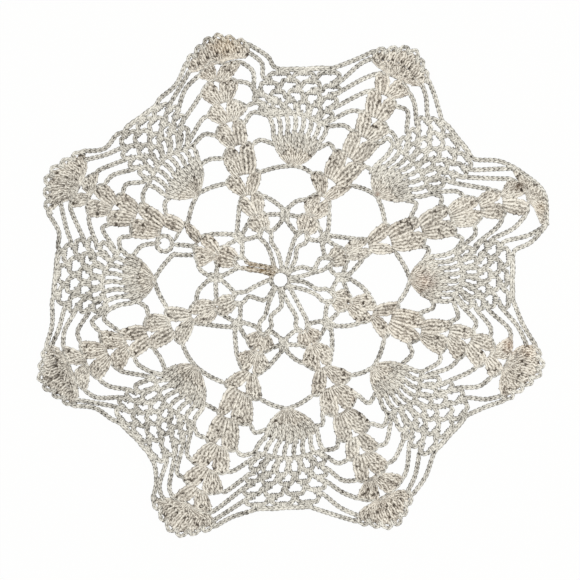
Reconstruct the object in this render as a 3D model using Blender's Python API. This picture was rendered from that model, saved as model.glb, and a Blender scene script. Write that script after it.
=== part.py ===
"""Crochet doily in pineapple lace, lying flat: one sheet with the lace's gaps cut through.

The lace is charted by bearing (degrees anticlockwise from +X) and radius (mm) about its ring,
a row for each stitch group. Functions turn the rows into strands. The sheet is all that lies
within half a strand's width of a strand, with its larger gaps open.
"""
import math
from collections import namedtuple

import bmesh
import bpy
import numpy as np

SHEET = 0.002            # thickness, m
CHAIN = 2.3              # widths of the strands, mm
LOOP = 2.0
POST = 1.5
KNOT = 2.4
RING = (3.9, 2.2)        # radius and width of the centre ring, mm
COUNT = 8                # columns of shells, and panels between them
FAN_POSTS = 11
TIP_POSTS = 14
SHELL_POSTS = 5          # in each half of a shell
SHELL_LEAN = 54          # degrees from a shell's axis at which its outer post leaves the foot
FAN_LEAN = 64            # as for a fan
TIP_LEAN = 80            # as for the last round of a column
SHELL_CROWN = 1.0        # how far the top of each half of a shell swells, mm
LOOP_OVERLAP = 0.4       # of two neighbouring loops, from each one's strand, mm
ODD_COLUMN = 6           # lacks the left post groups of its fourth and fifth rounds
FINGERS = 8
LOOP_ROWS = 5
SCALLOPS = 6
CELL = 0.35              # grid of the outline, mm
REACH = 121.0            # half the grid's side, mm
GAP_SPAN = 4.0           # gaps shorter than this stay filled, mm
GAP_AREA = 3.6           # and so do smaller ones, mm2
MAX_GAPS = 298
MAX_POINTS = 2450

Spoke = namedtuple("Spoke", "foot bend top")
Inner = namedtuple("Inner", "join foot2 left2 right2 foot3 left3 right3 foot4 left4 right4")
Shell = namedtuple("Shell", "foot left right")
Tip = namedtuple("Tip", "fan_top left top right")
Links = namedtuple("Links", "a b c d e f g")
Knot = namedtuple("Knot", "place bow_before bow_after")
Panel = namedtuple("Panel", "base fan_left fan_top fan_right finger_left finger_top finger_right")
Row = namedtuple("Row", "first middle last")
Mend = namedtuple("Mend", "top middle foot")

SPOKES = (   # the long stitches about the ring, in pairs: left, then right
    (Spoke((66.5, 5.8), (70, 10.7), (71, 15.2)),
     Spoke((47, 5.4), (53.5, 10.6), (62.5, 15.2))),
    (Spoke((40, 6.0), (29.7, 10.7), (17.5, 14.6)),
     Spoke((10, 5.3), (10, 9.8), (12.5, 13.9))),
    (Spoke((-4, 5.2), (-5.6, 10.3), (-14.2, 15.8)),
     Spoke((-32, 5.4), (-22.2, 11), (-22.5, 16.3))),
    (Spoke((-43, 5.6), (-51.8, 10.9), (-55.5, 16.4)),
     Spoke((-80, 5.2), (-71.5, 10.4), (-67, 17))),
    (Spoke((-92, 5.1), (-88, 11.0), (-104.5, 15.8)),
     Spoke((-119.5, 5.5), (-116.6, 11), (-113, 16.3))),
    (Spoke((-127, 5.2), (-128, 10.8), (-152, 14.8)),
     Spoke((-178, 5.0), (-165.5, 11), (-161, 15.6))),
    (Spoke((138, 5), (155.5, 9), (161, 15)),
     Spoke((112, 5), (141, 9), (152.5, 15))),
    (Spoke((116, 5.8), (110.5, 11.7), (112, 16.4)),
     Spoke((84, 5.5), (95.6, 11.7), (103.5, 16.4))),
)
INNER = (    # shells of rounds 2 to 4 over each pair
    Inner((66.5, 15.4), (63, 22.8), (74, 27.5), (54, 27.5), (64.3, 30.2), (72.5, 35.3), (54.5, 35.3),
          (62.3, 39.8), (73.5, 46.7), (52.7, 49.8)),
    Inner((18, 15.4), (20.6, 23.2), (31, 27.5), (13.5, 28.5), (21.5, 30.2), (29, 35.5), (14.5, 36),
          (21.2, 40.5), (28.5, 50), (13.5, 49.7)),
    Inner((-18.5, 16.5), (-19, 24.1), (-8.5, 28), (-28.5, 28), (-19.2, 31.4), (-9.5, 37.8),
          (-28.5, 38), (-20.1, 42), (-11, 50.5), (-29.5, 50.2)),
    Inner((-62, 16.8), (-64.5, 24.1), (-53, 28.5), (-74, 28.5), (-64, 31), (-54, 36.8), (-74.5, 36.5),
          (-64, 41.6), (-53.5, 50), (-74.3, 50.3)),
    Inner((-108.5, 16.7), (-108.3, 24.1), (-96, 28.5), (-120.5, 28.5), (-107.5, 32.2), (-98, 37),
          (-119.5, 37), (-108, 41.8), (-99.6, 50.8), (-118.5, 49.3)),
    Inner((-155.5, 15.4), (-156, 22), (-147.5, 28), (-164, 28), (-157, 30), (-148.5, 36), (-166, 36.5),
          (-157.2, 41), (-146.5, 49.3), (-166, 49)),
    Inner((156, 15.6), (156.5, 21), (167.5, 27), (147.5, 27), (158.3, 29.3), (170, 35), (147.5, 35.5),
          (156, 38.5), (166, 46), (148, 45.7)),
    Inner((109, 15.8), (108.5, 22.6), (120.5, 27), (102, 28), (110, 29.8), (119, 35.5), (102, 36.3),
          (111, 38.8), (119.5, 46.5), (100.5, 46)),
)
KNOTS = (    # where the arcs of neighbouring columns meet, and how far the outer arcs bow
    Knot((86, 27.3), 0.6, 1.5),
    Knot((43.3, 25.3), 0.3, 0),
    Knot((2.5, 26), 0.3, 1.2),
    Knot((-42.5, 26.8), 1.0, 0.5),
    Knot((-87, 27), 1.0, 0),
    Knot((-134, 25.8), 0.2, 0.2),
    Knot((-182, 27), 2.0, 1.5),
    Knot((134, 24.5), 0.3, 0),
)
SHELLS = (   # rounds A to F of each column
    (Shell((62, 47.7), (67.3, 58.9), (53, 59.6)),
     Shell((60, 59.5), (64.6, 69.4), (53.7, 71)),
     Shell((59.4, 70), (64.5, 78.3), (54, 77.3)),
     Shell((59.7, 79.5), (64.8, 87.9), (56.4, 87.6)),
     Shell((60.5, 89.7), (64.9, 95.7), (55.5, 95.6)),
     Shell((60.9, 97.8), (67.3, 101), (54.3, 101.5))),
    (Shell((20, 50), (25.7, 60.6), (13, 61.3)),
     Shell((20, 63.7), (25.1, 74), (14.4, 75.8)),
     Shell((20.3, 76.6), (24.5, 84.7), (15.7, 84.6)),
     Shell((20, 90), (23.2, 96.3), (15.6, 97)),
     Shell((19.6, 99.8), (23.6, 105.9), (14.8, 106.7)),
     Shell((18.5, 109.5), (25.3, 109.5), (11.7, 114.2))),
    (Shell((-20, 50), (-13.5, 60), (-26.5, 60)),
     Shell((-20, 63.7), (-13.6, 73.7), (-24.9, 74)),
     Shell((-17.8, 75), (-14.4, 83.7), (-24.4, 81.8)),
     Shell((-18.2, 84.4), (-15.2, 91.4), (-24, 90.2)),
     Shell((-19.8, 93.9), (-14.3, 100), (-24.7, 97.6)),
     Shell((-20.4, 101.2), (-15, 107.2), (-27.4, 105.4))),
    (Shell((-65, 50.5), (-56.2, 57.7), (-72.4, 58)),
     Shell((-65, 62), (-57.9, 71), (-70.1, 71.2)),
     Shell((-64.3, 73.8), (-59.5, 80.9), (-69.5, 80.7)),
     Shell((-64.8, 81.6), (-59.7, 89.3), (-69, 90.2)),
     Shell((-65, 92), (-58.2, 98), (-70.3, 97.7)),
     Shell((-64.5, 101), (-59.2, 103.9), (-71.5, 104.7))),
    (Shell((-109.6, 50.3), (-101.6, 62), (-115.8, 61)),
     Shell((-111.1, 62.8), (-104.4, 74), (-115.2, 73.3)),
     Shell((-110.5, 75), (-105.4, 83.8), (-116.3, 84.6)),
     Shell((-110.7, 85.5), (-105.5, 92.3), (-116.3, 92.5)),
     Shell((-111.4, 94.9), (-106.7, 102.2), (-116.2, 102)),
     Shell((-112, 102), (-105.7, 105.2), (-117.9, 104.8))),
    (Shell((-157, 50.5), (-151.3, 60.6), (-165.1, 57.5)),
     Shell((-157.5, 61.2), (-152, 69.5), (-162.5, 71.3)),
     Shell((-157.4, 70.4), (-150.5, 77.7), (-164, 79)),
     Shell((-157, 79.4), (-151.2, 87), (-162.6, 88)),
     Shell((-156.8, 89), (-150.6, 94.5), (-162.8, 95.5)),
     Shell((-157, 95.8), (-149.7, 99.8), (-163.8, 100.2))),
    (Shell((154.5, 47), (163, 53), (150, 55.5)),
     Shell((156.7, 55), (163.7, 65), (150.5, 66.1)),
     Shell((156, 67), (162.1, 75.5), (151.1, 75.6)),
     Shell((156.5, 77.5), (161.5, 84.9), (151.4, 84)),
     Shell((156, 87.5), (160.7, 93.8), (149.8, 89.5)),
     Shell((155.8, 93.3), (160.3, 98.2), (148.6, 96.4))),
    (Shell((109.1, 47.5), (115.3, 56.3), (101.7, 57.9)),
     Shell((107.8, 60), (114.2, 66.3), (103.1, 67.3)),
     Shell((108, 70.4), (113.9, 75.3), (101, 74.3)),
     Shell((107.9, 78.8), (113.2, 84.7), (102.2, 85.4)),
     Shell((107.9, 88.3), (111.7, 92.4), (100.3, 93.1)),
     Shell((106, 94.8), (113.2, 96), (97.9, 96.5))),
)
TIPS = (     # rim of scallops over the last shell
    Tip(104.5, (67.6, 104), (60, 111), (53.6, 104.5)),
    Tip(116.4, None, None, None),
    Tip(109, (-14.6, 111), (-19.5, 115.5), (-28.2, 107)),
    Tip(106.5, (-58.5, 106), (-65, 113.3), (-72.3, 106.6)),
    Tip(107.5, (-105.1, 107.6), (-112.5, 114.8), (-120.2, 106.8)),
    Tip(101.5, (-148.9, 102.2), (-157, 108.8), (-163.9, 102.5)),
    Tip(99.5, (163.8, 101.8), (155.5, 106.5), (147.1, 99.3)),
    Tip(98.7, (113.4, 99.4), (105.5, 105.5), (98, 100.2)),
)
LINKS = (    # middles of the side chains of rounds A to G: left side, then right
    (Links((70.3, 60.7), (67.8, 70), (67.8, 76.4), (67.8, 83), (68, 90.5), (69.8, 96.3), (70.8, 98.2)),
     Links(None, (52.8, 74.7), (52.6, 77.5), (52.9, 88.5), (52.5, 92.6), (51.4, 98), (50.2, 101))),
    (Links((29.3, 65.4), (27.1, 76), (26.8, 82.5), (25.6, 90.5), (25.6, 98.5), (27, 102.5),
           (28.6, 104.2)),
     Links((11.8, 63.8), (12.5, 78.3), (13, 83.8), (13.6, 93.5), (12.4, 100), (10.2, 106), (8.6, 106.5))),
    (Links((-10.3, 65.2), (-11.7, 76.2), (-12, 83.8), (-12.6, 90.2), (-11.9, 97.7), (-11.2, 101.6),
           (-10.6, 103.7)),
     Links((-29.3, 63.4), (-27.5, 75), (-27.9, 79.5), (-26.7, 87.5), (-28.3, 94.4), (-30.2, 99.7),
           (-31.5, 101.7))),
    (Links((-54.5, 63.6), (-54.8, 75), (-56.8, 81.3), (-57.1, 88.9), (-55.7, 94.6), (-55.3, 99.5),
           (-53.8, 102.8)),
     Links((-73.6, 63), (-71.6, 74.3), (-72.7, 80.6), (-72.8, 88), (-73.8, 92.8), (-75.3, 98.8),
           (-76.8, 101.5))),
    (Links((-99.5, 65), (-102.3, 75.4), (-103.3, 82), (-104.2, 91.4), (-104.7, 98.1), (-103.1, 100.2),
           (-101.6, 101.7)),
     Links((-120.1, 60.9), (-118.2, 73.6), (-118.6, 82.1), (-118.5, 91.1), (-118.4, 97.9),
           (-120.5, 100), (-121.4, 99.9))),
    (Links((-147, 60.1), (-149, 69.4), (-148, 74.1), (-147.9, 84.3), (-147.2, 91.3), (-146.4, 93.3),
           (-145.4, 94.7)),
     Links((-168.4, 57.5), (-167.3, 75.8), (-167.5, 81), (-165.9, 87.7), (-166.8, 93), (-167.3, 95.4),
           (-168.9, 97.6))),
    (Links((166.2, 59.8), (165.5, 69.6), (164, 77.8), (164, 83.2), (163.7, 89.9), (166, 92.8),
           (167.7, 95.2)),
     Links((146.5, 58.2), (147.8, 68.1), (148.1, 76), (147.9, 82.8), (148, 88.1), (144.6, 90.4),
           (143.4, 92.2))),
    (Links((120, 58.5), (117.7, 68.9), (116.5, 74.6), (116.2, 81.8), (116.6, 89.3), (116.8, 91.8),
           (118, 93)),
     Links((98.1, 59.3), (99.3, 71.2), (97.6, 75), (98.7, 82.7), (97.5, 88.1), (94.9, 91.3),
           (93.4, 94.1))),
)
PANELS = (   # pineapple between two columns: its fan and its fingers
    Panel((83.5, 48.3), (92.7, 57), 60, (74, 57.3), (94, 69), 70, (73, 67.3)),
    Panel((41.3, 53.7), (50, 60), 65.5, (32.3, 62.4), (50, 74), 74.5, (29.8, 73)),
    Panel((0, 54.6), (8.7, 61.7), 68, (-7.6, 64), (9.5, 74.4), 76.5, (-6.7, 72.9)),
    Panel((-43, 53.6), (-34.5, 62.2), 65.5, (-50.1, 62.2), (-33, 71), 75.5, (-51.3, 72.3)),
    Panel((-87, 54.3), (-76.3, 63.1), 66, (-95.4, 63.2), (-75.9, 73.8), 75, (-98.5, 73.4)),
    Panel((-133.8, 50.9), (-121.3, 61.1), 62, (-141.8, 61.4), (-121.2, 70.7), 71, (-144.1, 66.5)),
    Panel((-180, 53.1), (-171.2, 60.4), 64.5, (-189.3, 62.6), (-169.9, 73.8), 74.5, (-190.7, 68.4)),
    Panel((133.9, 50.1), (143.7, 57.9), 60.5, (124.2, 58.9), (144.3, 68.5), 70.5, (123.3, 67.2)),
)
MESH = (     # holes of the loop rows above each panel: first, middle radius, last
    (Row((95, 70.5), 73, (74.2, 71)),
     Row((96, 75.5), 77.3, (74.7, 77)),
     Row((93.2, 80.5), 81.7, (75, 81.7)),
     Row((90.3, 84.3), 84.9, (76.7, 87)),
     Row((86.5, 87), 87.6, (79.6, 88.7))),
    (Row((48, 77), 78.7, (31.5, 77.5)),
     Row((47.3, 82), 83, (31.5, 82)),
     Row((47, 88), 87.3, (31.5, 87.5)),
     Row((44.5, 91), 91, (33, 91)),
     Row((41.5, 93.8), 93.8, (35.8, 93.8))),
    (Row((8.6, 78.7), 81.3, (-7, 78.4)),
     Row((9.2, 85.3), 85.7, (-6.7, 83.4)),
     Row((8.1, 90.1), 89.6, (-5.4, 88.1)),
     Row((5.8, 93.9), 92.6, (-4.9, 93.7)),
     Row((2.5, 96.1), 96, (-3, 96))),
    (Row((-33.2, 76.9), 79.8, (-50, 79)),
     Row((-32.9, 82.3), 84.2, (-50.2, 82.6)),
     Row((-33.7, 87.9), 88.3, (-49.3, 87.6)),
     Row((-36.2, 92.5), 92.5, (-48.1, 92.7)),
     Row((-39.5, 95), 95, (-45, 95))),
    (Row((-77.8, 76.7), 79.4, (-97.5, 77.9)),
     Row((-78.7, 81.9), 83.3, (-97.9, 83)),
     Row((-80.2, 86.8), 88, (-97.4, 88.4)),
     Row((-82.9, 91.6), 91.7, (-96, 92.5)),
     Row((-85, 94.2), 94.2, (-91.5, 94.4))),
    (Row((-122.8, 73.6), 74.4, (-142.3, 73.6)),
     Row((-123.5, 78.2), 78.6, (-141.9, 78.2)),
     Row((-123.9, 84.1), 82.6, (-140.9, 82.5)),
     Row((-125.7, 88.5), 86.2, (-138.8, 86.3)),
     Row((-128.5, 89.3), 88.6, (-136, 88.4))),
    (Row((-171.7, 77), 77.8, (-190.3, 74.5)),
     Row((-172.6, 82.4), 82, (-190.5, 79.7)),
     Row((-173.5, 86.7), 86.7, (-189.1, 84.6)),
     Row((-176.1, 90.7), 90.8, (-187.1, 88.9)),
     Row((-178.2, 93.4), 93.2, (-184.9, 92.6))),
    (Row((141.5, 72.4), 74.9, (123.2, 73.2)),
     Row((140.9, 77.6), 78.5, (122.7, 78.3)),
     Row((139.6, 82.3), 83, (123.2, 82.5)),
     Row((136.9, 86.3), 85.6, (125.2, 85.8)),
     Row((133.6, 89), 88.6, (127.7, 88.2))),
)

MENDS = (    # single chains in place of the odd column's fourth post group
    Mend((166.7, 46.6), (165.8, 42.5), (164.3, 38.6)),
    Mend((161.5, 46.6), (159.9, 42), (158.3, 37.3)),
)
MEND_RING = ((162.7, 51), 3.3)   # and the middle and radius of the ring in place of the fifth


def at(place):
    """Bearing and radius to x, y."""
    angle = math.radians(place[0])
    return np.array([place[1]*math.cos(angle), place[1]*math.sin(angle)])


def unit(v):
    return v/np.linalg.norm(v)


def bend(points, step=0.8):
    """Smooth curve through the points (Catmull-Rom), with a point about every step mm."""
    p = np.array(points, float)
    q = np.vstack([2*p[0]-p[1], p, 2*p[-1]-p[-2]])
    pieces = []
    for a, b, c, d in zip(q[:-3], q[1:-2], q[2:-1], q[3:]):
        n = max(2, int(np.linalg.norm(c-b)/step)+1)
        t = np.linspace(0, 1, n)[1 if pieces else 0:, None]
        pieces.append(0.5*(2*b + (c-a)*t + (2*a-5*b+4*c-d)*t**2 + (3*b-a-3*c+d)*t**3))
    return np.vstack(pieces)


def along(line, shares):
    """Points at shares 0 to 1 of a line's length."""
    run = np.concatenate([[0], np.cumsum(np.linalg.norm(np.diff(line, axis=0), axis=1))])
    s = np.asarray(shares)*run[-1]
    return np.stack([np.interp(s, run, line[:, k]) for k in (0, 1)], 1)


def arch(left, top_radius, right):
    """Arc from left to right through their middle bearing at top_radius."""
    return bend([at(left), at(((left[0]+right[0])/2, top_radius)), at(right)], 0.5)


def bowed(a, b, bow):
    """Curve from a to b whose middle lies bow mm further out."""
    m = (a+b)/2
    return bend([a, m+unit(m)*bow, b])


def leaning(side, ahead, degrees):
    """Direction that many degrees from ahead towards the side."""
    return side*math.sin(math.radians(degrees))+ahead*math.cos(math.radians(degrees))


def post(add, foot, top, leave, arrive):
    """A tall stitch: a cubic from foot to top, bent by shares of its length along two directions."""
    length = np.linalg.norm(top-foot)
    b, c = foot+leave*length, top-arrive*length
    t = np.linspace(0, 1, 9)[:, None]
    add((1-t)**3*foot+3*(1-t)**2*t*b+3*(1-t)*t*t*c+t**3*top, POST)


def fan(add, foot, arc, count, spread, lean):
    """Posts that leave one foot to all sides and end on an arc."""
    side = unit(arc[-1]-arc[0])
    ahead = np.array([side[1], -side[0]])
    ahead *= np.sign(ahead@(arc[len(arc)//2]-foot))
    for share, top in zip(np.linspace(-1, 1, count), along(arc, np.linspace(0, 1, count))):
        post(add, foot+side*share*spread-ahead*0.4, top, 0.42*leaning(side, ahead, lean*share),
             0.35*leaning(side, ahead, 0.3*lean*share))
    add(arc, POST)


def shell(add, foot, left, right, following, base=2.8, gap=2.7, crown=SHELL_CROWN, hands=(1, -1)):
    """Two groups of posts from one broad foot, with the next foot on the chain between them."""
    axis = unit(following-foot)
    side = np.array([-axis[1], axis[0]])
    for corner, hand in ((left, 1), (right, -1)):
        if hand not in hands:
            continue
        shoulder = following+side*hand*gap-axis*0.3
        edge = bend([corner, (corner+shoulder)/2+axis*crown, shoulder], 0.5)
        tops = along(edge, np.linspace(0, 1, SHELL_POSTS))
        for share, top in zip(np.linspace(1, 0, SHELL_POSTS), tops):
            start = foot+side*hand*(0.3+(base-0.3)*share)-axis*(0.3+0.6*share)
            post(add, start, top, 0.42*leaning(side*hand, axis, SHELL_LEAN*share),
                 0.28*leaning(side*hand, axis, 34-30*share))
        add(edge, POST)
    add(bend([following+side*gap-axis*0.3, following, following-side*gap-axis*0.3], 0.5), POST)


def spokes(add, pair, inner):
    """Two long stitches and the V of chains that carries the first shell."""
    foot = at(inner.foot2)
    corners = [at((inner.foot2[0]+hand*8.8, inner.foot2[1]-2.0)) for hand in (1, -1)]
    for spoke, corner, hand in zip(pair, corners, (1, -1)):
        start = at((spoke.foot[0], RING[0]))
        add(bend([start, at(spoke.foot), at(spoke.bend), at(spoke.top)]), CHAIN)
        elbow = at((inner.foot2[0]+hand*7.5, (spoke.top[1]+inner.foot2[1])/2))
        add(bend([at(spoke.top), elbow, corner*0.4+foot*0.6]), CHAIN)
    add(bend([corners[0], foot, corners[1]]), CHAIN)
    return corners


def knot_arcs(add, knot, before, after, corner_before, corner_after):
    """Three arcs between neighbouring columns, bound together at the knot."""
    centre = at(knot.place)
    out = unit(centre)
    low, high = centre-out*1.7, centre+out*1.9
    add(bend([corner_before, (corner_before+low)/2, low, (corner_after+low)/2, corner_after]), CHAIN)
    add(bend([at(before.right2), centre+out*0.2, at(after.left2)]), CHAIN)
    add(bowed(at(before.right3), high, knot.bow_before), CHAIN)
    add(bowed(high, at(after.left3), knot.bow_after), CHAIN)
    add(bend([low, high]), KNOT*2)


def tip_rim(add, inner, rim):
    """Groups of posts under small scallops."""
    feet = along(inner, np.linspace(0, 1, 4*SCALLOPS+1))
    tops = along(rim, np.linspace(0, 1, 4*SCALLOPS+1))
    for a, b in zip(feet, tops):
        add(bend([a, b-unit(b)*0.7]), POST)
    for j in range(SCALLOPS):
        bump = along(rim, np.clip((j+np.array([0.02, 0.16, 0.5, 0.84, 0.98]))/SCALLOPS, 0, 1))
        lift = np.array([-1.9, 0, 1.0, 0, -1.9])[:, None]
        add(bend(bump+lift*bump/np.linalg.norm(bump, axis=1)[:, None], 0.5), POST)


def panel_rows(add, panel, rows):
    """Fan, fingers and loop rows of a pineapple. Returns where each round's side chains end."""
    arc = arch(panel.fan_left, panel.fan_top, panel.fan_right)
    edge = arch(panel.finger_left, panel.finger_top, panel.finger_right)
    share = np.linspace(0, 1, len(arc))[:, None]
    heads = arc+arc/np.linalg.norm(arc, axis=1)[:, None]*(2.4-1.4*np.sin(np.pi*share))
    fan(add, at(panel.base), heads, FAN_POSTS, 1.0, FAN_LEAN)
    tops = along(edge, np.linspace(0, 1, FINGERS))
    for a, b in zip(along(heads, np.linspace(0, 1, FINGERS)), tops):
        add(bend([a, b]), CHAIN)
    add(edge, LOOP)
    ends = [(arc[0], arc[-1]), (edge[0], edge[-1])]
    feet = [g+unit(g) for g in (tops[1:]+tops[:-1])/2]
    for g in feet:
        add(bend([g-unit(g)*1.2, g+unit(g)*0.8]), KNOT)
    for count, row in zip(range(6, 6-LOOP_ROWS, -1), rows):
        t = np.linspace(0, 1, count)
        bearing = row.first[0]+(row.last[0]-row.first[0])*t
        rise = row.middle-(row.first[1]+row.last[1])/2
        radius = row.first[1]+(row.last[1]-row.first[1])*t+4*t*(1-t)*rise
        holes = [at(place) for place in zip(bearing, radius)]
        side = (holes[0]-holes[-1])/(count-1)
        wall = side/2-unit(side)*LOOP_OVERLAP
        for a, hole, b in zip(feet[:-1], holes, feet[1:]):
            peak = unit(hole)*(2.5 if count > 2 else 1.6)
            add(bend([a, hole+wall, hole+wall*0.75+peak*0.84, hole+peak, hole-wall*0.75+peak*0.84,
                      hole-wall, b]), LOOP)
        ends.append((feet[0], feet[-1]))
        tops = [hole+unit(hole)*2.5 for hole in holes]
        if count > 2:
            for top in tops:
                add(bend([top-unit(top)*1.0, top+unit(top)*1.6]), KNOT)
        else:
            first, last = (foot+unit(foot)*0.8 for foot in (feet[0], feet[-1]))
            add(bend([first, *(hole+unit(hole)*1.8 for hole in holes), last]), LOOP)
        feet = [top+unit(top)*1.2 for top in tops]
    return ends


def side_chains(add, middles, corners, ends, hand):
    """Chains from a column's shells to the panel beside it, one a round."""
    for k, (middle, corner, end) in enumerate(zip(middles, corners, ends)):
        points = [corner, end] if middle is None else [corner, at(middle), end]
        if k > 1:
            across = np.array([-unit(end)[1], unit(end)[0]])*hand
            points.insert(-1, end+across*2.6+unit(end)*0.6)
        add(bend(points), CHAIN)


def strands():
    """All strands of the lace, as (points in mm, width)."""
    found = []

    def add(points, width):
        found.append((np.asarray(points), width))

    turn = np.linspace(0, 2*math.pi, 33)
    circle = np.stack([np.cos(turn), np.sin(turn)], 1)
    add(RING[0]*circle, RING[1])
    add(at(MEND_RING[0])+MEND_RING[1]*circle, CHAIN)
    for mend in MENDS:
        add(bend([at(mend.top), at(mend.middle), at(mend.foot)]), CHAIN)
    corners = [spokes(add, pair, inner) for pair, inner in zip(SPOKES, INNER)]
    for k in range(COUNT):
        knot_arcs(add, KNOTS[k], INNER[k-1], INNER[k], corners[k-1][1], corners[k][0])
    ends = [panel_rows(add, panel, rows) for panel, rows in zip(PANELS, MESH)]
    for k in range(COUNT):
        inner, rounds, tip = INNER[k], SHELLS[k], TIPS[k]
        after = (k+1) % COUNT
        hands = (-1,) if k == ODD_COLUMN else (1, -1)
        shell(add, at(inner.foot2), at(inner.left2), at(inner.right2), at(inner.foot3), 1.6, 1.6)
        shell(add, at(inner.foot3), at(inner.left3), at(inner.right3), at(inner.foot4), 1.6, 1.6)
        shell(add, at(inner.foot4), at(inner.left4), at(inner.right4), at(rounds[0].foot), 1.8, 2.6, 0.8,
              hands)
        add(bowed(at(inner.left4), at(PANELS[k].base), 0.6), CHAIN)
        add(bowed(at(inner.right4), at(PANELS[after].base), 0.6), CHAIN)
        shell(add, at(rounds[0].foot), at(rounds[0].left), at(rounds[0].right), at(rounds[1].foot), 3.3,
              hands=hands)
        for here, following in zip(rounds[1:-1], rounds[2:]):
            shell(add, at(here.foot), at(here.left), at(here.right), at(following.foot))
        last = rounds[-1]
        arc = arch(last.left, tip.fan_top, last.right)
        fan(add, at(last.foot), arc, TIP_POSTS, 1.9, TIP_LEAN)
        rim = arc
        if tip.top is not None:
            rim = bend([at(tip.left), at(tip.top), at(tip.right)], 0.5)
            tip_rim(add, arc, rim)
        lefts = [at(row.left) for row in rounds]+[rim[0]]
        rights = [at(row.right) for row in rounds]+[rim[-1]]
        side_chains(add, LINKS[k][0], lefts, [pair[1] for pair in ends[k]], -1)
        side_chains(add, LINKS[k][1], rights, [pair[0] for pair in ends[after]], 1)
    return found


def field():
    """Signed distance in mm from the nearest strand's edge, on the grid, below 0 inside it."""
    count = int(2*REACH/CELL)+1
    axis = np.linspace(-REACH, REACH, count)
    near = np.full((count, count), 3.0)
    for points, width in strands():
        for a, b in zip(points[:-1], points[1:]):
            low = np.minimum(a, b)-width/2-1.0
            high = np.maximum(a, b)+width/2+1.0
            i0, j0 = np.maximum(np.floor((low+REACH)/CELL).astype(int), 0)
            i1, j1 = np.ceil((high+REACH)/CELL).astype(int)+1
            x = axis[i0:i1, None]-a[0]
            y = axis[None, j0:j1]-a[1]
            d = b-a
            t = np.clip((x*d[0]+y*d[1])/max(d@d, 1e-9), 0, 1)
            gap = np.hypot(x-t*d[0], y-t*d[1])-width/2
            near[i0:i1, j0:j1] = np.minimum(near[i0:i1, j0:j1], gap)
    return axis, near


def contours(axis, near):
    """Closed lines where the field is 0: each crossed cell joins the crossings of its sides."""
    inside = near < 0
    crossing = {}

    def cross(i, j, k, l):
        key = (i, j, k, l)
        if key not in crossing:
            f, g = near[i, j], near[k, l]
            t = min(max(f/(f-g), 0.05), 0.95)
            crossing[key] = (axis[i]+(axis[k]-axis[i])*t, axis[j]+(axis[l]-axis[j])*t)
        return key

    links = {}
    mixed = inside[:-1, :-1].astype(int)+inside[1:, :-1]+inside[:-1, 1:]+inside[1:, 1:]
    for i, j in zip(*np.nonzero((mixed > 0) & (mixed < 4))):
        ring = [(i, j), (i+1, j), (i+1, j+1), (i, j+1)]
        starts, stops = [], []
        for (a, b), (c, d) in zip(ring, ring[1:]+ring[:1]):
            if inside[a, b] == inside[c, d]:
                continue
            key = cross(*min((a, b), (c, d)), *max((a, b), (c, d)))
            (stops if inside[a, b] else starts).append(key)
        if len(starts) == 2 and near[i:i+2, j:j+2].sum() > 0:
            stops.reverse()
        for start, stop in zip(starts, stops):
            links[start] = stop
    lines = []
    while links:
        first, key = links.popitem()
        line = [crossing[first]]
        while key != first:
            line.append(crossing[key])
            key = links.pop(key)
        lines.append(np.array(line))
    return lines


def area(line):
    x, y = line.T
    return 0.5*np.sum(x*np.roll(y, -1)-np.roll(x, -1)*y)


def simpler(line, slack):
    """The closed line with points left out that lie within slack of it."""
    far = int(np.argmax(np.linalg.norm(line-line[0], axis=1)))
    keep = {0, far, len(line)}
    closed = np.vstack([line, line[:1]])
    spans = [(0, far), (far, len(line))]
    while spans:
        a, b = spans.pop()
        if b-a < 2:
            continue
        chord = closed[b]-closed[a]
        off = closed[a+1:b]-closed[a]
        gap = np.abs(chord[0]*off[:, 1]-chord[1]*off[:, 0])/max(np.linalg.norm(chord), 1e-9)
        worst = int(np.argmax(gap))
        if gap[worst] > slack:
            keep.add(a+1+worst)
            spans += [(a, a+1+worst), (a+1+worst, b)]
    return closed[sorted(keep-{len(line)})]


def sheet_lines():
    """Outer outline and the larger gaps, the largest first."""
    lines = sorted(contours(*field()), key=lambda line: -abs(area(line)))
    outer, rest = lines[0], lines[1:]
    gaps = [line for line in rest
            if np.linalg.norm(line.max(0)-line.min(0)) > GAP_SPAN and abs(area(line)) > GAP_AREA
            and area(line)*area(outer) < 0][:MAX_GAPS]
    slack = 0.1
    while True:
        kept = [simpler(line, slack) for line in [outer]+gaps]
        kept = [line for line in kept if len(line) > 3]
        if sum(len(line) for line in kept) <= MAX_POINTS:
            return kept
        slack += 0.01


def material():
    cotton = bpy.data.materials.new("ecru_cotton")
    cotton.use_nodes = True
    shader = cotton.node_tree.nodes["Principled BSDF"]
    shader.inputs["Base Color"].default_value = (0.60, 0.56, 0.49, 1.0)
    shader.inputs["Roughness"].default_value = 0.9
    return cotton


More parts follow.
